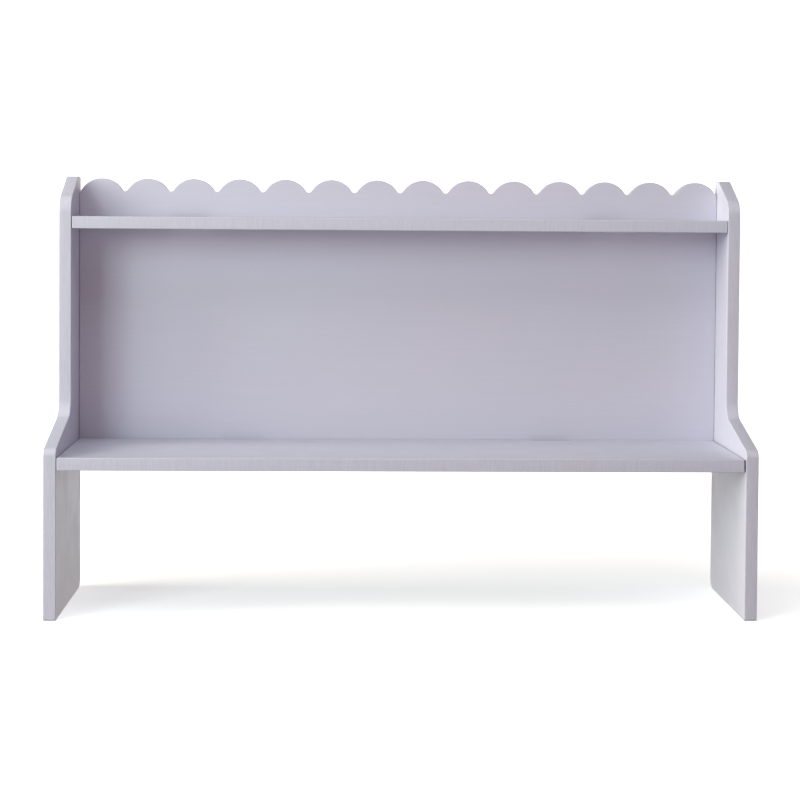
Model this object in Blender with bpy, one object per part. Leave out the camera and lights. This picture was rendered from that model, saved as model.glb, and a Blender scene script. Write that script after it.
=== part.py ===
"""Desk hutch of painted board: two stepped side panels, two shelves and a scalloped back.

The boards are held by cam bolts with cams, fluted dowels and back screws.
Metres, +Z up. X runs across the hutch, its front faces -Y, and the origin is the middle of
its footprint on the desk top. "Depth" below is a distance behind the front of the legs.
"""

import math

import bmesh
import bpy
from mathutils import Matrix, Vector

# Overall size and boards
WIDTH = 1.000
DEPTH = 0.235
HEIGHT = 0.622
SIDE_THICKNESS = 0.018
SHELF_THICKNESS = 0.018
BACK_THICKNESS = 0.012

# Side panel outline
UPPER_FRONT = 0.138  # depth of the front edge above the step
STEP_LOW_Z = 0.239  # the step's sloping edge starts here, at the leg's front
STEP_HIGH_Z = 0.275  # and ends here, at the upper front edge
SLOPE_LOW_Z = 0.5865  # the sloping top starts here, at the upper front edge
SLOPE_TOP_DEPTH = 0.211  # and ends at this depth, at the full height
FOOT_FRONT_RADIUS = 0.003
FOOT_REAR_RADIUS = 0.016
STEP_LOW_RADIUS = 0.012
STEP_HIGH_RADIUS = 0.025
SLOPE_LOW_RADIUS = 0.028
SLOPE_TOP_RADIUS = 0.006
REAR_TOP_RADIUS = 0.005
SIDE_ARRIS = 0.0012

# Shelves
LOWER_SHELF_Z = 0.210
TOP_SHELF_Z = 0.545
LOWER_SLOT_X = 0.233  # middle of each cable slot in the lower shelf's rear edge
TOP_SLOT_X = 0.313
SLOT_LENGTH = 0.062
SLOT_DEPTH = 0.010
SLOT_RADIUS = 0.004
SHELF_ARRIS = 0.0012

# Back panel
BACK_FACE = 0.219  # depth of its front face
SCALLOP_COUNT = 14
SCALLOP_TOP_Z = 0.620
SCALLOP_PITCH = 0.069
SCALLOP_RADIUS = 0.0355
VALLEY_RADIUS = 0.005
BACK_ARRIS = 0.0006

# Gaps between the back and the sides, and between a fastener and its hole
BACK_GAP = 0.0004
FIT_GAP = 0.0003
OVERRUN = 0.002  # how far a cutter runs past the face that it cuts

# Fluted dowel
DOWEL_RADIUS = 0.004
DOWEL_FLUTE = 0.0004
DOWEL_LENGTH = 0.030
DOWEL_IN_SIDE = 0.010
DOWEL_CHAMFER = 0.001
DOWEL_FLUTES = 8

# Cam fitting: the bolt's distances run from the side panel's inner face
CAM_SETBACK = 0.034
CAM_RADIUS = 0.0075
CAM_HEIGHT = 0.0135
CAM_CHAMFER = 0.0005
CAM_HOLLOW_RADIUS = 0.0049
CAM_HOLLOW_HALF = 0.0036
CAM_SLOT_HALF = 0.0018
CAM_MOUTH_RADIUS = 0.0036
CAM_SLOT_START = math.radians(-20)
CAM_SLOT_SWEEP = math.radians(190)  # from the locked position to the mouth
BOLT_THREAD = 0.011
BOLT_THREAD_RADIUS = 0.0025
BOLT_ROOT_RADIUS = 0.0020
BOLT_PITCH = 0.0022
BOLT_SHANK = 0.0255
BOLT_SHANK_RADIUS = 0.0029
BOLT_NECK_END = 0.0305
BOLT_NECK_RADIUS = 0.0014
BOLT_HEAD_RADIUS = 0.0032
BOLT_CHAMFER = 0.001

# Back screw
SCREW_LENGTH = 0.038
SCREW_HEAD_RADIUS = 0.0038
SCREW_HEAD_RIM = 0.0003
SCREW_HEAD_DEPTH = 0.0024
SCREW_SHANK_RADIUS = 0.00175
SCREW_ROOT_RADIUS = 0.0013
SCREW_PITCH = 0.0036
SCREW_TIP = 0.005
SCREW_TIP_RADIUS = 0.0003
SCREW_X = (-0.42, -0.14, 0.14, 0.42)

# Cross recess in a cam and in a screw head
CROSS_BLADE = 0.0011
CAM_CROSS = (0.0066, 0.0024)  # length across and depth
SCREW_CROSS = (0.0044, 0.0015)

# Facets
ARC_STEP = math.radians(14)  # most that one straight piece of an outline's arc turns
LOBE_STEPS = 12
VALLEY_STEPS = 4
BORE_SIDES = 16
CAM_SIDES = 24
FASTENER_SIDES = 12
ARRIS_SEGMENTS = 2
ARRIS_ANGLE = math.radians(40)
SMOOTH_ANGLE = math.radians(30)

INNER_X = WIDTH / 2 - SIDE_THICKNESS
SIDES = {"left": -1, "right": 1}
# A shelf is cut short of the sides: its end gaps are the left one and the right one
SHELVES = {
    "lower_shelf": {
        "z": LOWER_SHELF_Z,
        "front": 0.0,
        "end_gaps": (0.0008, 0.0022),
        "slot_x": LOWER_SLOT_X,
        "cams": {"front": 0.050, "rear": 0.165},
        "dowels": {"front": 0.082, "rear": 0.133},
    },
    "top_shelf": {
        "z": TOP_SHELF_Z,
        "front": UPPER_FRONT,
        "end_gaps": (0.0011, 0.0004),
        "slot_x": TOP_SLOT_X,
        "cams": {"middle": 0.178},
        "dowels": {"front": 0.155, "rear": 0.201},
    },
}


def y_at(depth):
    """The Y of a distance behind the front of the legs."""
    return depth - DEPTH / 2


def clear_scene():
    for old in list(bpy.data.objects):
        bpy.data.objects.remove(old, do_unlink=True)


def material(name, colour, roughness, metallic=0.0):
    made = bpy.data.materials.new(name)
    made.use_nodes = True
    shader = made.node_tree.nodes["Principled BSDF"]
    shader.inputs["Base Color"].default_value = (*colour, 1.0)
    shader.inputs["Roughness"].default_value = roughness
    shader.inputs["Metallic"].default_value = metallic
    made.diffuse_color = (*colour, 1.0)
    return made


def mesh_from(bm, name):
    """The bmesh as a mesh with its faces outwards, smooth but for its sharp edges."""
    bmesh.ops.recalc_face_normals(bm, faces=bm.faces)
    mesh = bpy.data.meshes.new(name)
    bm.to_mesh(mesh)
    bm.free()
    mesh.shade_smooth()
    mesh.set_sharp_from_angle(angle=SMOOTH_ANGLE)
    return mesh


def add_object(name, mesh, finish=None, matrix=None):
    made = bpy.data.objects.new(name, mesh)
    bpy.context.scene.collection.objects.link(made)
    if matrix is not None:
        made.matrix_world = matrix
    if finish is not None:
        if not mesh.materials:
            mesh.materials.append(finish)
        made.parent = hutch
        made.matrix_parent_inverse = Matrix.Identity(4)
    return made


def add_cutter(name, mesh):
    made = add_object(name, mesh)
    made.hide_render = True
    made.display_type = "WIRE"
    return made


def cut_with(board, cutter):
    modifier = board.modifiers.new(cutter.name, "BOOLEAN")
    modifier.operation = "DIFFERENCE"
    modifier.solver = "EXACT"
    modifier.object = cutter


def cut_mesh(name, mesh, cutters):
    """The mesh with the cutters taken away, for pieces that share it."""
    blank = add_object(f"{name}_blank", mesh)
    for cutter in cutters:
        cut_with(blank, cutter)
    graph = bpy.context.evaluated_depsgraph_get()
    made = bpy.data.meshes.new_from_object(blank.evaluated_get(graph))
    for helper in [blank, *cutters]:
        bpy.data.objects.remove(helper, do_unlink=True)
    made.name = name
    return made


def ease_arrises(board, width):
    """Rounds every square edge of a board."""
    modifier = board.modifiers.new("eased_arrises", "BEVEL")
    modifier.width = width
    modifier.segments = ARRIS_SEGMENTS
    modifier.limit_method = "ANGLE"
    modifier.angle_limit = ARRIS_ANGLE


def arc(centre, radius, start, end, steps):
    """Points from the start angle to the end angle about a centre, both ends included."""
    angles = [start + (end - start) * i / steps for i in range(steps + 1)]
    return [centre + radius * Vector((math.cos(a), math.sin(a))) for a in angles]


def rounded_outline(corners):
    """A closed outline from (a, b, radius) corners: an arc at each, or a point where radius is 0."""
    points = []
    for i, (a, b, radius) in enumerate(corners):
        corner = Vector((a, b))
        if not radius:
            points.append(corner)
            continue
        before = (Vector(corners[i - 1][:2]) - corner).normalized()
        after = (Vector(corners[(i + 1) % len(corners)][:2]) - corner).normalized()
        half = before.angle(after) / 2
        centre = corner + (before + after).normalized() * radius / math.sin(half)
        reach = radius / math.tan(half)
        first = corner + before * reach - centre
        last = corner + after * reach - centre
        start = math.atan2(first.y, first.x)
        turn = math.atan2(first.x * last.y - first.y * last.x, first.dot(last))
        steps = max(1, math.ceil(abs(turn) / ARC_STEP))
        points += arc(centre, radius, start, start + turn, steps)
    return points


def prism(bm, outline, low, high, place):
    """A straight extrusion of an outline; place(a, b, along) gives each point in space."""
    face = bm.faces.new([bm.verts.new(place(a, b, low)) for a, b in outline])
    grown = bmesh.ops.extrude_face_region(bm, geom=[face])
    travel = Vector(place(0, 0, high)) - Vector(place(0, 0, low))
    moved = [item for item in grown["geom"] if isinstance(item, bmesh.types.BMVert)]
    bmesh.ops.translate(bm, verts=moved, vec=travel)


def turned(bm, profile, sides, matrix, radius_at=None):
    """A piece turned about its own +X axis from (distance, radius) points, with flat ends."""
    rings = []
    for distance, radius in profile:
        ring = []
        for i in range(sides):
            angle = 2 * math.pi * i / sides
            r = radius_at(i, radius) if radius_at else radius
            point = Vector((distance, r * math.cos(angle), r * math.sin(angle)))
            ring.append(bm.verts.new(matrix @ point))
        rings.append(ring)
    for near, far in zip(rings, rings[1:]):
        for i in range(sides):
            j = (i + 1) % sides
            bm.faces.new([near[i], near[j], far[j], far[i]])
    bm.faces.new(rings[0])
    bm.faces.new(rings[-1])


def threaded(start, length, crest, root, pitch):
    """Profile points of a thread drawn as turned ridges, from the start onwards."""
    count = int(length / pitch)
    points = []
    for i in range(count):
        at = start + length * i / count
        points.append((at, root))
        points.append((at + length / count / 2, crest))
    return points


def pointing(direction, at):
    """A matrix that turns +X to the direction and moves the origin to a point."""
    turn = Vector(direction).to_track_quat("X", "Z").to_matrix().to_4x4()
    return Matrix.Translation(at) @ turn


def cross_cutter(name, across, depth, matrix):
    """A plus-shaped blade that cuts a cross recess into the plane at its local origin."""
    blade, half = CROSS_BLADE / 2, across / 2
    outline = [
        (blade, blade), (blade, half), (-blade, half), (-blade, blade),
        (-half, blade), (-half, -blade), (-blade, -blade), (-blade, -half),
        (blade, -half), (blade, -blade), (half, -blade), (half, blade),
    ]
    bm = bmesh.new()
    prism(bm, outline, -depth, depth, lambda a, b, along: matrix @ Vector((along, a, b)))
    return add_cutter(name, mesh_from(bm, name))


# Positions that the boards and the fasteners share

def shelf_middle(shelf):
    return shelf["z"] + SHELF_THICKNESS / 2


def fitting_points(kind):
    """(name, point, direction into the side panel) of each cam or dowel at the shelf ends."""
    for shelf_name, shelf in SHELVES.items():
        for side, sign in SIDES.items():
            for where, depth in shelf[kind].items():
                point = Vector((sign * INNER_X, y_at(depth), shelf_middle(shelf)))
                yield shelf_name, f"{side}_{where}", point, Vector((sign, 0, 0))


def screw_points():
    """(shelf name, number, point on the back's rear face) of each back screw."""
    for shelf_name, shelf in SHELVES.items():
        for number, x in enumerate(SCREW_X, start=1):
            rear = y_at(BACK_FACE + BACK_THICKNESS)
            yield shelf_name, number, Vector((x, rear, shelf_middle(shelf)))


# Boards

def side_outline():
    return rounded_outline([
        (y_at(0), 0, FOOT_FRONT_RADIUS),
        (y_at(DEPTH), 0, FOOT_REAR_RADIUS),
        (y_at(DEPTH), HEIGHT, REAR_TOP_RADIUS),
        (y_at(SLOPE_TOP_DEPTH), HEIGHT, SLOPE_TOP_RADIUS),
        (y_at(UPPER_FRONT), SLOPE_LOW_Z, SLOPE_LOW_RADIUS),
        (y_at(UPPER_FRONT), STEP_HIGH_Z, STEP_HIGH_RADIUS),
        (y_at(0), STEP_LOW_Z, STEP_LOW_RADIUS),
    ])


def side_bores(side):
    """The holes in one side panel's inner face, for the dowels and the cam bolts."""
    bm = bmesh.new()
    bores = {
        "dowels": (DOWEL_RADIUS + FIT_GAP, DOWEL_IN_SIDE + FIT_GAP),
        "cams": (BOLT_THREAD_RADIUS + FIT_GAP, BOLT_THREAD + FIT_GAP),
    }
    for kind, (radius, depth) in bores.items():
        for _, where, point, outwards in fitting_points(kind):
            if where.startswith(side):
                profile = [(-OVERRUN, radius), (depth, radius)]
                turned(bm, profile, BORE_SIDES, pointing(outwards, point))
    return add_cutter(f"side_bores_{side}", mesh_from(bm, f"side_bores_{side}"))


def make_side(side, sign, finish):
    bm = bmesh.new()
    inner, outer = sign * INNER_X, sign * WIDTH / 2
    prism(bm, side_outline(), inner, outer, lambda a, b, along: (along, a, b))
    panel = add_object(f"side_panel_{side}", mesh_from(bm, f"side_panel_{side}"), finish)
    ease_arrises(panel, SIDE_ARRIS)
    cut_with(panel, side_bores(side))


def shelf_outline(shelf):
    """The shelf seen from above: square front corners, and two cable slots at the rear."""
    front, rear = y_at(shelf["front"]), y_at(BACK_FACE) - FIT_GAP
    left_gap, right_gap = shelf["end_gaps"]
    left_end, right_end = left_gap - INNER_X, INNER_X - right_gap
    corners = [(left_end, front, 0), (right_end, front, 0), (right_end, rear, 0)]
    for middle in (shelf["slot_x"], -shelf["slot_x"]):
        right, left = middle + SLOT_LENGTH / 2, middle - SLOT_LENGTH / 2
        corners += [
            (right, rear, 0),
            (right, rear - SLOT_DEPTH, SLOT_RADIUS),
            (left, rear - SLOT_DEPTH, SLOT_RADIUS),
            (left, rear, 0),
        ]
    corners.append((left_end, rear, 0))
    return rounded_outline(corners)


def make_shelf(name, shelf, finish):
    bm = bmesh.new()
    top = shelf["z"] + SHELF_THICKNESS
    prism(bm, shelf_outline(shelf), shelf["z"], top, lambda a, b, along: (a, b, along))
    board = add_object(name, mesh_from(bm, name), finish)
    ease_arrises(board, SHELF_ARRIS)
    cut_with(board, shelf_end_bores(name))
    cut_with(board, cam_bores(name, shelf))
    cut_with(board, shelf_rear_bores(name))


def shelf_end_bores(name):
    """Level holes into the shelf's ends: one for each dowel, one for each cam bolt."""
    bm = bmesh.new()
    dowel_reach = DOWEL_LENGTH - DOWEL_IN_SIDE + FIT_GAP
    for kind, radius, reach in (
        ("dowels", DOWEL_RADIUS + FIT_GAP, dowel_reach),
        ("cams", BOLT_HEAD_RADIUS + FIT_GAP, CAM_SETBACK),
    ):
        for shelf_name, _, point, outwards in fitting_points(kind):
            if shelf_name == name:
                profile = [(-OVERRUN, radius), (reach, radius)]
                turned(bm, profile, BORE_SIDES, pointing(-outwards, point))
    return add_cutter(f"{name}_end_bores", mesh_from(bm, f"{name}_end_bores"))


def cam_bores(name, shelf):
    """Upright blind holes in the shelf's underside for the cams."""
    bm = bmesh.new()
    radius = CAM_RADIUS + FIT_GAP
    profile = [(-OVERRUN, radius), (CAM_HEIGHT + 2 * FIT_GAP, radius)]
    for shelf_name, _, point, outwards in fitting_points("cams"):
        if shelf_name == name:
            at = point - outwards * CAM_SETBACK
            at.z = shelf["z"]
            turned(bm, profile, CAM_SIDES, pointing((0, 0, 1), at))
    return add_cutter(f"{name}_cam_bores", mesh_from(bm, f"{name}_cam_bores"))


def shelf_rear_bores(name):
    """Level pilot holes in the shelf's rear edge for the back screws."""
    bm = bmesh.new()
    radius = SCREW_SHANK_RADIUS + FIT_GAP
    profile = [(BACK_THICKNESS - OVERRUN, radius), (SCREW_LENGTH + 2 * FIT_GAP, radius)]
    for shelf_name, _, point in screw_points():
        if shelf_name == name:
            turned(bm, profile, FASTENER_SIDES, pointing((0, -1, 0), point))
    return add_cutter(f"{name}_rear_bores", mesh_from(bm, f"{name}_rear_bores"))


def scalloped_top(half_width):
    """The back's top edge from left to right: round lobes joined by small round valleys.

    The two end lobes have no valley. They run down to the panel's ends.
    """
    up = math.pi / 2
    lobe_z = SCALLOP_TOP_Z - SCALLOP_RADIUS
    span = SCALLOP_RADIUS + VALLEY_RADIUS
    lean = math.asin(SCALLOP_PITCH / 2 / span)
    valley_z = lobe_z + span * math.cos(lean)
    first, last = 0, SCALLOP_COUNT - 1
    last_middle = SCALLOP_PITCH * last / 2
    end_lean = math.asin((half_width - last_middle) / SCALLOP_RADIUS)
    points = []
    for i in range(SCALLOP_COUNT):
        middle = Vector((SCALLOP_PITCH * i - last_middle, lobe_z))
        start = up + (end_lean if i == first else lean)
        end = up - (end_lean if i == last else lean)
        points += arc(middle, SCALLOP_RADIUS, start, end, LOBE_STEPS)
        if i < last:
            dip = Vector((middle.x + SCALLOP_PITCH / 2, valley_z))
            points += arc(dip, VALLEY_RADIUS, -up - lean, lean - up, VALLEY_STEPS)[1:-1]
    return points


def back_holes():
    """Countersunk through holes for the back screws."""
    bm = bmesh.new()
    head = SCREW_HEAD_RADIUS + FIT_GAP
    shank = SCREW_SHANK_RADIUS + FIT_GAP
    profile = [
        (-OVERRUN, head),
        (SCREW_HEAD_RIM + 2 * FIT_GAP, head),
        (SCREW_HEAD_DEPTH + 2 * FIT_GAP, shank),
        (BACK_THICKNESS + OVERRUN, shank),
    ]
    for _, _, point in screw_points():
        turned(bm, profile, BORE_SIDES, pointing((0, -1, 0), point))
    return add_cutter("back_screw_holes", mesh_from(bm, "back_screw_holes"))


def make_back(finish):
    half_width = INNER_X - BACK_GAP
    outline = [Vector((half_width, LOWER_SHELF_Z)), Vector((-half_width, LOWER_SHELF_Z))]
    outline += scalloped_top(half_width)
    bm = bmesh.new()
    front, rear = y_at(BACK_FACE), y_at(BACK_FACE + BACK_THICKNESS)
    prism(bm, outline, front, rear, lambda a, b, along: (a, along, b))
    panel = add_object("back_panel", mesh_from(bm, "back_panel"), finish)
    ease_arrises(panel, BACK_ARRIS)
    cut_with(panel, back_holes())


# Fasteners: each is made once and placed at every joint that has one

def dowel_mesh():
    """A fluted dowel from the bottom of its hole in the side panel, along its own +X."""
    inner = DOWEL_RADIUS - DOWEL_CHAMFER
    profile = [
        (0, inner),
        (DOWEL_CHAMFER, DOWEL_RADIUS),
        (DOWEL_LENGTH - DOWEL_CHAMFER, DOWEL_RADIUS),
        (DOWEL_LENGTH, inner),
    ]
    bm = bmesh.new()
    turned(
        bm, profile, 2 * DOWEL_FLUTES, Matrix.Identity(4),
        lambda i, radius: radius - DOWEL_FLUTE * (i % 2),
    )
    return mesh_from(bm, "dowel")


def bolt_mesh():
    """A cam bolt: its thread bites the side panel and its head stands in the cam."""
    profile = threaded(-BOLT_THREAD, BOLT_THREAD, BOLT_THREAD_RADIUS, BOLT_ROOT_RADIUS, BOLT_PITCH)
    profile += [
        (0, BOLT_ROOT_RADIUS),
        (BOLT_CHAMFER, BOLT_SHANK_RADIUS),
        (BOLT_SHANK, BOLT_SHANK_RADIUS),
        (BOLT_SHANK + BOLT_CHAMFER, BOLT_NECK_RADIUS),
        (BOLT_NECK_END, BOLT_NECK_RADIUS),
        (BOLT_NECK_END, BOLT_HEAD_RADIUS),
        (CAM_SETBACK - BOLT_CHAMFER, BOLT_HEAD_RADIUS),
        (CAM_SETBACK, BOLT_HEAD_RADIUS - BOLT_CHAMFER),
    ]
    bm = bmesh.new()
    turned(bm, profile, FASTENER_SIDES, Matrix.Identity(4))
    return mesh_from(bm, "cam_bolt")


def cam_mesh():
    """A cam, locked, with the bolt coming in along +X; its driver cross is in the plane z = 0."""
    middle = SHELF_THICKNESS / 2 - FIT_GAP
    up = pointing((0, 0, 1), (0, 0, 0))
    body = [
        (0, CAM_RADIUS - CAM_CHAMFER),
        (CAM_CHAMFER, CAM_RADIUS),
        (CAM_HEIGHT - CAM_CHAMFER, CAM_RADIUS),
        (CAM_HEIGHT, CAM_RADIUS - CAM_CHAMFER),
    ]
    bm = bmesh.new()
    turned(bm, body, CAM_SIDES, up)
    blank = mesh_from(bm, "cam_body")

    low, high = middle - CAM_HOLLOW_HALF, middle + CAM_HOLLOW_HALF
    bm = bmesh.new()
    turned(bm, [(low, CAM_HOLLOW_RADIUS), (high, CAM_HOLLOW_RADIUS)], BORE_SIDES, up)
    hollow = add_cutter("cam_hollow", mesh_from(bm, "cam_hollow"))

    start, end = CAM_SLOT_START, CAM_SLOT_START + CAM_SLOT_SWEEP
    axis = Vector((0, 0))
    outline = arc(axis, CAM_RADIUS + OVERRUN, start, end, CAM_SIDES // 2)
    outline += arc(axis, CAM_HOLLOW_RADIUS - OVERRUN, end, start, CAM_SIDES // 2)
    low, high = middle - CAM_SLOT_HALF, middle + CAM_SLOT_HALF
    bm = bmesh.new()
    prism(bm, outline, low, high, lambda a, b, along: (a, b, along))
    slot = add_cutter("cam_slot", mesh_from(bm, "cam_slot"))

    way = (math.cos(end), math.sin(end), 0)
    profile = [(0, CAM_MOUTH_RADIUS), (CAM_RADIUS + OVERRUN, CAM_MOUTH_RADIUS)]
    bm = bmesh.new()
    turned(bm, profile, BORE_SIDES, pointing(way, (0, 0, middle)))
    mouth = add_cutter("cam_mouth", mesh_from(bm, "cam_mouth"))

    cross = cross_cutter("cam_cross", *CAM_CROSS, up)
    return cut_mesh("cam", blank, [hollow, slot, mouth, cross])


def screw_mesh():
    """A countersunk screw from its head's face, along its own +X."""
    start = BACK_THICKNESS
    length = SCREW_LENGTH - SCREW_TIP - start
    profile = [
        (0, SCREW_HEAD_RADIUS),
        (SCREW_HEAD_RIM, SCREW_HEAD_RADIUS),
        (SCREW_HEAD_DEPTH, SCREW_SHANK_RADIUS),
        (start - SCREW_PITCH / 2, SCREW_SHANK_RADIUS),
    ]
    profile += threaded(start, length, SCREW_SHANK_RADIUS, SCREW_ROOT_RADIUS, SCREW_PITCH)
    profile += [(start + length, SCREW_ROOT_RADIUS), (SCREW_LENGTH, SCREW_TIP_RADIUS)]
    bm = bmesh.new()
    turned(bm, profile, FASTENER_SIDES, Matrix.Identity(4))
    cross = cross_cutter("screw_cross", *SCREW_CROSS, Matrix.Identity(4))
    return cut_mesh("back_screw", mesh_from(bm, "screw_body"), [cross])


def place_dowels(finish):
    mesh = dowel_mesh()
    for shelf_name, where, point, outwards in fitting_points("dowels"):
        at = point + outwards * DOWEL_IN_SIDE
        add_object(f"{shelf_name}_dowel_{where}", mesh, finish, pointing(-outwards, at))


def place_cams(bolt_finish, cam_finish):
    bolt = bolt_mesh()
    cam = cam_mesh()
    for shelf_name, where, point, outwards in fitting_points("cams"):
        add_object(f"{shelf_name}_cam_bolt_{where}", bolt, bolt_finish, pointing(-outwards, point))
        at = point - outwards * CAM_SETBACK
        at.z = SHELVES[shelf_name]["z"] + FIT_GAP
        turn = Matrix.Rotation(math.atan2(outwards.y, outwards.x), 4, "Z")
        add_object(f"{shelf_name}_cam_{where}", cam, cam_finish, Matrix.Translation(at) @ turn)


def place_screws(finish):
    mesh = screw_mesh()
    for shelf_name, number, point in screw_points():
        at = point + Vector((0, -FIT_GAP, 0))
        add_object(f"{shelf_name}_back_screw_{number}", mesh, finish, pointing((0, -1, 0), at))


clear_scene()
hutch = bpy.data.objects.new("desk_hutch", None)
bpy.context.scene.collection.objects.link(hutch)

lavender_paint = material("lavender_paint", (0.61, 0.58, 0.70), 0.45)
beech = material("beech_dowel", (0.60, 0.40, 0.22), 0.70)
bolt_steel = material("zinc_plated_bolt", (0.62, 0.63, 0.65), 0.35, 1.0)
die_cast_zinc = material("die_cast_zinc", (0.52, 0.53, 0.54), 0.50, 1.0)
screw_steel = material("zinc_plated_screw", (0.66, 0.66, 0.64), 0.30, 1.0)

for side_name, side_sign in SIDES.items():
    make_side(side_name, side_sign, lavender_paint)
for board_name, board in SHELVES.items():
    make_shelf(board_name, board, lavender_paint)
make_back(lavender_paint)
place_dowels(beech)
place_cams(bolt_steel, die_cast_zinc)
place_screws(screw_steel)
bpy.context.view_layer.update()
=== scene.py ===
"""Looks for the desk hutch: lavender satin paint on board, with its fittings in beech and zinc.

The CAD nodes all stay, with their arrises shaded round and procedural materials.
Metres, +Z up, the front faces -Y, and the floor is at Z = 0.
"""

import math

import bpy
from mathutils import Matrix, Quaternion, Vector

# Shading of the CAD nodes
MERGE_DISTANCE = 0.00001
SHARP_ANGLE = math.radians(50)
FACE_WEIGHT = 100

# Camera
CAMERA_PLACE = (-0.0863, -2.6013, 0.5700)
CAMERA_YAW = math.radians(1.843)
CAMERA_PITCH = math.radians(-1.806)
CAMERA_ROLL = math.radians(0.422)
CAMERA_LENS = 80.47
CAMERA_SHIFT_Y = -0.1625
CAMERA_CLIP = (0.1, 50.0)

# Floor and backdrop
FLOOR_RADIUS = 6.0
SWEEP_RADIUS = 1.5
BACKDROP_TOP = 9.0
SWEEP_STEPS = 12
FLOOR_SIDES = 96
FLOOR_TONE_LOW = (0.93, 0.93, 0.93, 1.0)
FLOOR_TONE_HIGH = (0.95, 0.95, 0.95, 1.0)
FLOOR_CLOUD_SCALE = 2.0
FLOOR_ROUGHNESS = 0.9
FLOOR_GLOW = (0.55, 1.0)  # near the hutch and far from it
FLOOR_GLOW_REACH = (0.2, 1.6)  # the distances between which the glow grows

# Soft boxes: place, size, watts and colour
LIGHT_AIM = (0.0, 0.0, 0.35)
LIGHTS = {
    "side_box": ((-5.44, -0.85, 2.13), 2.55, 263.5, (1.0, 0.93, 0.80)),
    "key_box": ((-2.2, -2.6, 1.6), 1.5, 47.0, (0.86, 1.0, 1.0)),
    "low_box": ((-2.6, -1.8, 0.7), 1.2, 19.0, (0.90, 1.0, 0.95)),
    "top_box": ((0.0, -0.8, 3.0), 2.0, 28.5, (1.0, 1.0, 1.0)),
}

# Brightness of the room, level with the hutch and below it, and where one turns to the next
ROOM_BEHIND = (1.99, 1.97, 1.88, 1.0)
ROOM_FRONT = (0.85, 0.59, 0.635, 1.0)
ROOM_BELOW = (0.305, 0.335, 0.317, 1.0)
BLACK = (0.0, 0.0, 0.0, 1.0)
FRONT_TO_BEHIND = (-0.25, 0.35)
ABOVE_TO_LEVEL = (0.5, -0.1)
BELOW_TO_LEVEL = (-0.4, 0.0)

# Paint
PAINT = (0.600, 0.600, 0.693, 1.0)
PAINT_WARM = (0.610, 0.598, 0.688, 1.0)
PAINT_COOL = (0.590, 0.602, 0.698, 1.0)
# Paler paint on the arrises: thin paint from wear, and a painted highlight where the eased edges
# catch light
PAINT_THIN_AND_HIGHLIGHT = (0.690, 0.690, 0.770, 1.0)
PAINT_HUE_SHARE = 0.55
PAINT_SPECULAR = 0.42
PAINT_ROUGHNESS = (0.40, 0.50)
EDGE_ROUGHER = 0.12
WORN_SMOOTHER = 0.08
# Paler arrises are partly wear and partly a painted highlight that runs along every arris
WEAR_AND_HIGHLIGHT_PALER = 0.5
WEAR_AND_HIGHLIGHT_SHARE = (0.25, 1.0)  # least and most wear along an arris

# How squarely a board's broad face and its sawn edge look along its thickness
BROAD_FACE = (0.55, 0.95)
SAWN_EDGE = (0.08, 0.35)

# Paint detail, in cycles per metre
CLOUD_SCALE = 4.5
PATCH_SCALE = 24.0
RUB_SCALE = 55.0
PEEL_SCALE = 620.0
SPECKLE_SCALE = 900.0
LANE_SCALE = {"across": 260.0, "along": 5.0}
LINE_SCALE = {"across": 420.0, "along": 30.0}
FIBRE_FINENESS = 2.6  # times as fine as the saw lines

# Darkest and lightest tone of the paint's detail
LANE_TONE = (0.988, 1.012)
SPECKLE_TONE = (0.985, 1.015)
LINE_TONE = (0.96, 1.03)
FIBRE_TONE = (0.975, 1.025)

# Height, in metres, and strength of the paint's relief
PEEL_RELIEF = (0.00010, 0.35)
LANE_RELIEF = (0.00012, 0.30)
SAWN_RELIEF = (0.00030, 0.55)
FIBRE_RELIEF_SHARE = 0.5

# Most of a noise lies between these two values
NOISE_SPAN = (0.3, 0.7)

# Each board's axes: through its thickness, along its length, and along its edges' saw lines
X, Y, Z = 0, 1, 2
BOARDS = {
    "side_panel_left": (X, Z, Z),
    "side_panel_right": (X, Z, Z),
    "lower_shelf": (Z, X, Z),
    "top_shelf": (Z, X, Z),
    "back_panel": (Y, X, Y),
}

# Beech
BEECH_DARK = (0.43, 0.26, 0.13, 1.0)
BEECH_LIGHT = (0.62, 0.43, 0.25, 1.0)
BEECH_FLECK = (0.25, 0.13, 0.06, 1.0)
BEECH_ROUGHNESS = (0.60, 0.78)
BEECH_GRAIN_SCALE = (40.0, 1500.0, 1500.0)
BEECH_FLECK_SCALE = (350.0, 2600.0, 2600.0)
BEECH_RELIEF = (0.00008, 0.6)

# Zinc: dark and light colour, roughness, grain in cycles per metre, and relief in metres
ZINC = {
    "bright_zinc": {
        "dark": (0.55, 0.56, 0.58, 1.0),
        "light": (0.72, 0.73, 0.75, 1.0),
        "roughness": (0.24, 0.40),
        "grain_scale": 1200.0,
        "relief": 0.00003,
    },
    "cast_zinc": {
        "dark": (0.40, 0.41, 0.42, 1.0),
        "light": (0.55, 0.56, 0.57, 1.0),
        "roughness": (0.42, 0.60),
        "grain_scale": 1600.0,
        "relief": 0.00008,
    },
    "screw_zinc": {
        "dark": (0.58, 0.58, 0.57, 1.0),
        "light": (0.74, 0.74, 0.72, 1.0),
        "roughness": (0.22, 0.38),
        "grain_scale": 1200.0,
        "relief": 0.00003,
    },
}
ZINC_CLOUD_SCALE = 220.0
ZINC_SPOT_SCALE = 900.0
ZINC_SPOT_SHARE = 0.35
ZINC_SPOT_ROUGHER = 0.12
ZINC_RELIEF_STRENGTH = 0.5


# Node trees

def new_material(name):
    made = bpy.data.materials.new(name)
    made.use_nodes = True
    tree = made.node_tree
    tree.nodes.clear()
    output = tree.nodes.new("ShaderNodeOutputMaterial")
    shader = tree.nodes.new("ShaderNodeBsdfPrincipled")
    tree.links.new(shader.outputs["BSDF"], output.inputs["Surface"])
    return made, tree, shader


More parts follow.
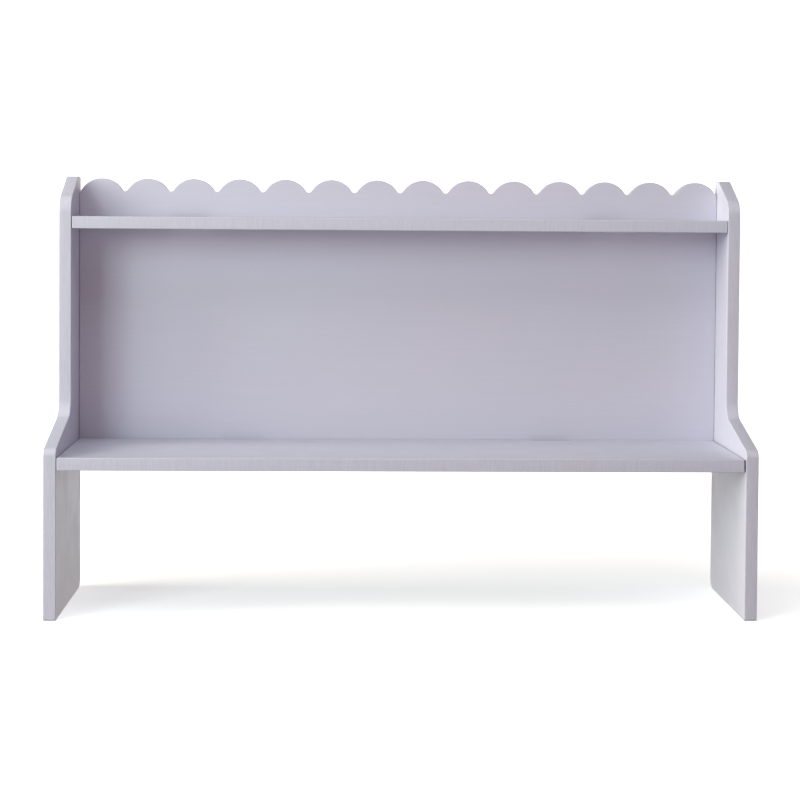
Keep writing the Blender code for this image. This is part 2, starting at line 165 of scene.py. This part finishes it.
def wire(tree, value, socket):
    """Links a socket, or sets a plain value."""
    if isinstance(value, bpy.types.NodeSocket):
        tree.links.new(value, socket)
    else:
        socket.default_value = value


def maths(tree, operation, *values):
    node = tree.nodes.new("ShaderNodeMath")
    node.operation = operation
    for value, socket in zip(values, node.inputs):
        wire(tree, value, socket)
    return node.outputs["Value"]


def ramp(tree, value, low, high, to_low=0.0, to_high=1.0):
    """The value taken from low..high to to_low..to_high, with soft ends."""
    node = tree.nodes.new("ShaderNodeMapRange")
    node.interpolation_type = "SMOOTHSTEP"
    given = {
        "Value": value,
        "From Min": low,
        "From Max": high,
        "To Min": to_low,
        "To Max": to_high,
    }
    for name, item in given.items():
        wire(tree, item, node.inputs[name])
    return node.outputs["Result"]


def blend_colours(tree, factor, a, b, mode="MIX"):
    node = tree.nodes.new("ShaderNodeMix")
    node.data_type = "RGBA"
    node.blend_type = mode
    wire(tree, factor, node.inputs["Factor"])
    wire(tree, a, node.inputs["A"])
    wire(tree, b, node.inputs["B"])
    return next(socket for socket in node.outputs if socket.type == "RGBA")


def place(tree):
    """Position on the object, in metres."""
    return tree.nodes.new("ShaderNodeTexCoord").outputs["Object"]


def scaled(tree, vector, scale, offset):
    node = tree.nodes.new("ShaderNodeMapping")
    wire(tree, vector, node.inputs["Vector"])
    node.inputs["Scale"].default_value = scale
    node.inputs["Location"].default_value = offset
    return node.outputs["Vector"]


def noise(tree, vector, scale, detail=2.0, roughness=0.5, offset=(0, 0, 0)):
    """Noise from 0 to 1 about 0.5. The scale is in cycles per metre, one number or one per axis."""
    if isinstance(scale, (int, float)):
        scale = (scale, scale, scale)
    node = tree.nodes.new("ShaderNodeTexNoise")
    wire(tree, scaled(tree, vector, scale, offset), node.inputs["Vector"])
    node.inputs["Scale"].default_value = 1.0
    node.inputs["Detail"].default_value = detail
    node.inputs["Roughness"].default_value = roughness
    return node.outputs["Fac"]


def bump(tree, height, distance, strength, normal=None):
    """The normal that a height gives, on top of another normal if there is one."""
    node = tree.nodes.new("ShaderNodeBump")
    node.inputs["Strength"].default_value = strength
    node.inputs["Distance"].default_value = distance
    wire(tree, height, node.inputs["Height"])
    if normal is not None:
        wire(tree, normal, node.inputs["Normal"])
    return node.outputs["Normal"]


def facing(tree, axis):
    """How squarely a face looks along an axis, either way: 1 square on, 0 edge on."""
    geometry = tree.nodes.new("ShaderNodeNewGeometry")
    dot = tree.nodes.new("ShaderNodeVectorMath")
    dot.operation = "DOT_PRODUCT"
    wire(tree, geometry.outputs["True Normal"], dot.inputs[0])
    dot.inputs[1].default_value = axis
    return maths(tree, "ABSOLUTE", dot.outputs["Value"])


# Materials

def stretched(scale, axis):
    """A detail's scale on each axis, drawn out along one of them."""
    values = [scale["across"]] * 3
    values[axis] = scale["along"]
    return values


def painted_board(name, thickness_axis, length_axis, line_axis, seed):
    """Satin paint, rolled along the board and drier on its sawn edges."""
    made, tree, shader = new_material(name)
    at = place(tree)
    shift = (seed * 3.7, seed * 1.9, seed * 5.3)

    through = [0.0, 0.0, 0.0]
    through[thickness_axis] = 1.0
    square = facing(tree, through)
    broad = ramp(tree, square, *BROAD_FACE)
    edge = maths(tree, "SUBTRACT", 1.0, ramp(tree, square, *SAWN_EDGE))
    arris = maths(tree, "SUBTRACT", 1.0, maths(tree, "MAXIMUM", broad, edge))

    # Colour: cloudy hue, roller lanes along the board, fine speckle, saw lines on the edges
    lane_scale = stretched(LANE_SCALE, length_axis)
    line_scale = stretched(LINE_SCALE, line_axis)
    fibre_scale = [value * FIBRE_FINENESS for value in line_scale]
    clouds = noise(tree, at, CLOUD_SCALE, detail=3.0, offset=shift)
    lanes = noise(tree, at, lane_scale, detail=3.0, roughness=0.6, offset=shift)
    speckle = noise(tree, at, SPECKLE_SCALE, detail=2.0, roughness=0.65, offset=shift)
    lines = noise(tree, at, line_scale, detail=4.0, roughness=0.7, offset=shift)
    fibres = noise(tree, at, fibre_scale, detail=2.0, offset=shift)

    hue = blend_colours(tree, ramp(tree, clouds, *NOISE_SPAN), PAINT_WARM, PAINT_COOL)
    colour = blend_colours(tree, PAINT_HUE_SHARE, PAINT, hue)

    lane_tone = ramp(tree, lanes, 0.25, 0.75, *LANE_TONE)
    speckle_tone = ramp(tree, speckle, 0.2, 0.8, *SPECKLE_TONE)
    line_tone = ramp(tree, lines, *NOISE_SPAN, *LINE_TONE)
    fibre_tone = ramp(tree, fibres, *NOISE_SPAN, *FIBRE_TONE)
    sawn_tone = maths(tree, "SUBTRACT", maths(tree, "MULTIPLY", line_tone, fibre_tone), 1.0)
    edge_tone = maths(tree, "ADD", 1.0, maths(tree, "MULTIPLY", edge, sawn_tone))
    face_tone = maths(tree, "MULTIPLY", lane_tone, speckle_tone)
    tone = maths(tree, "MULTIPLY", face_tone, edge_tone)
    grey = tree.nodes.new("ShaderNodeCombineColor")
    for channel in ("Red", "Green", "Blue"):
        wire(tree, tone, grey.inputs[channel])
    colour = blend_colours(tree, 1.0, colour, grey.outputs["Color"], "MULTIPLY")

    # Wear and painted highlight: the paint is thin and a little polished where the arrises have
    # been rubbed, and every arris is painted paler as a highlight
    rub = noise(tree, at, RUB_SCALE, detail=4.0, roughness=0.65, offset=shift)
    wear_and_highlight = maths(tree, "MULTIPLY", arris, ramp(tree, rub, 0.35, 0.68, *WEAR_AND_HIGHLIGHT_SHARE))
    colour = blend_colours(tree, maths(tree, "MULTIPLY", wear_and_highlight, WEAR_AND_HIGHLIGHT_PALER), colour, PAINT_THIN_AND_HIGHLIGHT)
    wire(tree, colour, shader.inputs["Base Color"])

    patchy = noise(tree, at, PATCH_SCALE, detail=4.0, roughness=0.6, offset=shift)
    rough = ramp(tree, patchy, *NOISE_SPAN, *PAINT_ROUGHNESS)
    rough = maths(tree, "ADD", rough, maths(tree, "MULTIPLY", edge, EDGE_ROUGHER))
    rough = maths(tree, "SUBTRACT", rough, maths(tree, "MULTIPLY", wear_and_highlight, WORN_SMOOTHER))
    wire(tree, rough, shader.inputs["Roughness"])

    # Relief: orange peel and roller lanes on the faces, saw lines on the edges
    peel = noise(tree, at, PEEL_SCALE, detail=1.0, offset=shift)
    relief = bump(tree, peel, *PEEL_RELIEF)
    relief = bump(tree, lanes, *LANE_RELIEF, relief)
    sawn = maths(tree, "ADD", lines, maths(tree, "MULTIPLY", fibres, FIBRE_RELIEF_SHARE))
    relief = bump(tree, maths(tree, "MULTIPLY", edge, sawn), *SAWN_RELIEF, relief)
    wire(tree, relief, shader.inputs["Normal"])
    shader.inputs["Specular IOR Level"].default_value = PAINT_SPECULAR
    return made


def fluted_beech():
    """Beech with its grain along X and short dark flecks."""
    made, tree, shader = new_material("fluted_beech")
    at = place(tree)
    grain = noise(tree, at, BEECH_GRAIN_SCALE, detail=4.0, roughness=0.6)
    fleck = noise(tree, at, BEECH_FLECK_SCALE, detail=1.0)
    wood = blend_colours(tree, ramp(tree, grain, *NOISE_SPAN), BEECH_DARK, BEECH_LIGHT)
    wood = blend_colours(tree, ramp(tree, fleck, 0.62, 0.72, 0.0, 0.6), wood, BEECH_FLECK)
    wire(tree, wood, shader.inputs["Base Color"])
    wire(tree, ramp(tree, grain, *NOISE_SPAN, *BEECH_ROUGHNESS), shader.inputs["Roughness"])
    wire(tree, bump(tree, grain, *BEECH_RELIEF), shader.inputs["Normal"])
    return made


def plated_metal(name, dark, light, roughness, grain_scale, relief):
    """Zinc with cloudy plating, fine grain and a few dull spots."""
    made, tree, shader = new_material(name)
    at = place(tree)
    clouds = noise(tree, at, ZINC_CLOUD_SCALE, detail=3.0)
    grain = noise(tree, at, grain_scale, detail=3.0, roughness=0.7)
    spots = ramp(tree, noise(tree, at, ZINC_SPOT_SCALE, detail=2.0), 0.60, 0.72)
    metal = blend_colours(tree, ramp(tree, clouds, *NOISE_SPAN), dark, light)
    metal = blend_colours(tree, maths(tree, "MULTIPLY", spots, ZINC_SPOT_SHARE), metal, dark)
    wire(tree, metal, shader.inputs["Base Color"])
    rough = ramp(tree, grain, *NOISE_SPAN, *roughness)
    rough = maths(tree, "ADD", rough, maths(tree, "MULTIPLY", spots, ZINC_SPOT_ROUGHER))
    wire(tree, rough, shader.inputs["Roughness"])
    wire(tree, bump(tree, grain, relief, ZINC_RELIEF_STRENGTH), shader.inputs["Normal"])
    shader.inputs["Metallic"].default_value = 1.0
    return made


# Shading

def rounded_shading():
    """Geometry nodes that join a node's triangles and shade all but its sharp edges smooth."""
    group = bpy.data.node_groups.new("rounded_shading", "GeometryNodeTree")
    group.interface.new_socket("Geometry", in_out="INPUT", socket_type="NodeSocketGeometry")
    group.interface.new_socket("Geometry", in_out="OUTPUT", socket_type="NodeSocketGeometry")
    nodes, links = group.nodes, group.links
    source = nodes.new("NodeGroupInput")
    result = nodes.new("NodeGroupOutput")
    merge = nodes.new("GeometryNodeMergeByDistance")
    merge.inputs["Distance"].default_value = MERGE_DISTANCE
    angle = nodes.new("GeometryNodeInputMeshEdgeAngle")
    sharper = nodes.new("FunctionNodeCompare")
    sharper.data_type = "FLOAT"
    sharper.operation = "GREATER_THAN"
    sharper.inputs["B"].default_value = SHARP_ANGLE
    normals = nodes.new("GeometryNodeSetMeshNormal")
    normals.mode = "SHARPNESS"
    normals.inputs["Remove Custom"].default_value = True
    links.new(source.outputs[0], merge.inputs["Geometry"])
    links.new(merge.outputs["Geometry"], normals.inputs["Mesh"])
    links.new(angle.outputs["Unsigned Angle"], sharper.inputs["A"])
    links.new(sharper.outputs["Result"], normals.inputs["Edge Sharpness"])
    links.new(normals.outputs["Mesh"], result.inputs[0])
    return group


def shade_round(node, group):
    """Rounded shading on the arrises and flat shading on the broad faces."""
    node.modifiers.new("rounded_shading", "NODES").node_group = group
    weighted = node.modifiers.new("flat_faces", "WEIGHTED_NORMAL")
    weighted.weight = FACE_WEIGHT
    weighted.keep_sharp = True


def repaint(node, finish):
    for slot in node.material_slots:
        slot.material = finish


def finish_nodes(nodes):
    """Gives every CAD node its shading and its material."""
    zinc = {name: plated_metal(name, **look) for name, look in ZINC.items()}
    # The first key that is in a node's name gives its material
    fittings = {
        "_dowel_": fluted_beech(),
        "_cam_bolt_": zinc["bright_zinc"],
        "_cam_": zinc["cast_zinc"],
        "_back_screw_": zinc["screw_zinc"],
    }
    seeds = {name: seed for seed, name in enumerate(BOARDS, start=1)}
    shading = rounded_shading()
    for name, node in nodes.items():
        shade_round(node, shading)
        if name in BOARDS:
            repaint(node, painted_board(f"{name}_paint", *BOARDS[name], seeds[name]))
        else:
            repaint(node, fittings[next(key for key in fittings if key in name)])


# Studio

def turned_surface(name, profile, sides):
    """A surface turned about Z from (radius, height) points, from the axis outwards."""
    vertices = [(0.0, 0.0, profile[0][1])]
    for radius, height in profile[1:]:
        for i in range(sides):
            a = 2 * math.pi * i / sides
            vertices.append((radius * math.cos(a), radius * math.sin(a), height))
    faces = [(0, 1 + i, 1 + (i + 1) % sides) for i in range(sides)]
    for ring in range(len(profile) - 2):
        for i in range(sides):
            j = (i + 1) % sides
            low, high = 1 + ring * sides, 1 + (ring + 1) * sides
            faces.append((low + i, high + i, high + j, low + j))
    mesh = bpy.data.meshes.new(name)
    mesh.from_pydata(vertices, [], faces)
    mesh.shade_smooth()
    made = bpy.data.objects.new(name, mesh)
    bpy.context.scene.collection.objects.link(made)
    return made


def pale_floor():
    """A white that glows more the farther it is from the hutch."""
    made, tree, shader = new_material("pale_floor")
    soft = noise(tree, place(tree), FLOOR_CLOUD_SCALE, detail=2.0)
    tone = blend_colours(tree, soft, FLOOR_TONE_LOW, FLOOR_TONE_HIGH)
    wire(tree, tone, shader.inputs["Base Color"])
    shader.inputs["Roughness"].default_value = FLOOR_ROUGHNESS
    shader.inputs["Specular IOR Level"].default_value = 0.0
    shader.inputs["Emission Color"].default_value = (1.0, 1.0, 1.0, 1.0)
    away = tree.nodes.new("ShaderNodeVectorMath")
    away.operation = "LENGTH"
    wire(tree, place(tree), away.inputs[0])
    glow = ramp(tree, away.outputs["Value"], *FLOOR_GLOW_REACH, *FLOOR_GLOW)
    wire(tree, glow, shader.inputs["Emission Strength"])
    return made


def add_floor():
    """A pale floor that curves up into a backdrop all round. It throws no light on the hutch."""
    profile = [(0.0, 0.0), (FLOOR_RADIUS, 0.0)]
    for i in range(1, SWEEP_STEPS + 1):
        a = math.pi / 2 * i / SWEEP_STEPS
        radius = FLOOR_RADIUS + SWEEP_RADIUS * math.sin(a)
        profile.append((radius, SWEEP_RADIUS * (1 - math.cos(a))))
    profile.append((FLOOR_RADIUS + SWEEP_RADIUS, BACKDROP_TOP))
    floor = turned_surface("floor", profile, FLOOR_SIDES)
    floor.visible_diffuse = False
    floor.visible_glossy = False
    floor.visible_shadow = False
    floor.data.materials.append(pale_floor())


def add_light(name, at, size, watts, colour):
    """A square soft box at a point, turned to the hutch."""
    data = bpy.data.lights.new(name, "AREA")
    data.shape = "SQUARE"
    data.size = size
    data.energy = watts
    data.color = colour
    light = bpy.data.objects.new(name, data)
    light.location = at
    light.rotation_mode = "QUATERNION"
    light.rotation_quaternion = (Vector(LIGHT_AIM) - Vector(at)).to_track_quat("-Z", "Y")
    light.visible_camera = False
    bpy.context.scene.collection.objects.link(light)


def add_world():
    """A room that glows level with the hutch, most behind it, and is dark above."""
    world = bpy.data.worlds.new("studio")
    world.use_nodes = True
    tree = world.node_tree
    background = tree.nodes["Background"]
    towards = tree.nodes.new("ShaderNodeSeparateXYZ")
    wire(tree, tree.nodes.new("ShaderNodeTexCoord").outputs["Generated"], towards.inputs[0])
    behind = ramp(tree, towards.outputs["Y"], *FRONT_TO_BEHIND)
    not_above = ramp(tree, towards.outputs["Z"], *ABOVE_TO_LEVEL)
    not_below = ramp(tree, towards.outputs["Z"], *BELOW_TO_LEVEL)
    level = blend_colours(tree, behind, ROOM_FRONT, ROOM_BEHIND)
    below = blend_colours(tree, behind, ROOM_BELOW, BLACK)
    glow = blend_colours(tree, not_below, below, level)
    glow = blend_colours(tree, not_above, BLACK, glow)
    wire(tree, glow, background.inputs["Color"])
    background.inputs["Strength"].default_value = 1.0
    bpy.context.scene.world = world


def add_camera():
    data = bpy.data.cameras.new("camera")
    data.lens = CAMERA_LENS
    data.shift_y = CAMERA_SHIFT_Y
    data.clip_start, data.clip_end = CAMERA_CLIP
    camera = bpy.data.objects.new("camera", data)
    forward = Vector((
        math.sin(CAMERA_YAW) * math.cos(CAMERA_PITCH),
        math.cos(CAMERA_YAW) * math.cos(CAMERA_PITCH),
        math.sin(CAMERA_PITCH),
    ))
    camera.location = CAMERA_PLACE
    camera.rotation_mode = "QUATERNION"
    roll = Quaternion((0, 0, 1), CAMERA_ROLL)
    camera.rotation_quaternion = forward.to_track_quat("-Z", "Y") @ roll
    bpy.context.scene.collection.objects.link(camera)
    bpy.context.scene.camera = camera


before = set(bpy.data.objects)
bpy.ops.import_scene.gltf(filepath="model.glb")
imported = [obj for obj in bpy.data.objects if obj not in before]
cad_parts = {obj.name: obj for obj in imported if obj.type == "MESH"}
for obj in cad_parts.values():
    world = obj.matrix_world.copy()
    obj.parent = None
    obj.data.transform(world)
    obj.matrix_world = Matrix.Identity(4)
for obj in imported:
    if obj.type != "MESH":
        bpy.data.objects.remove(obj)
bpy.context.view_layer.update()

finish_nodes(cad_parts)
add_floor()
add_world()
for light_name, look in LIGHTS.items():
    add_light(light_name, *look)
add_camera()
bpy.context.scene.view_settings.view_transform = "Standard"
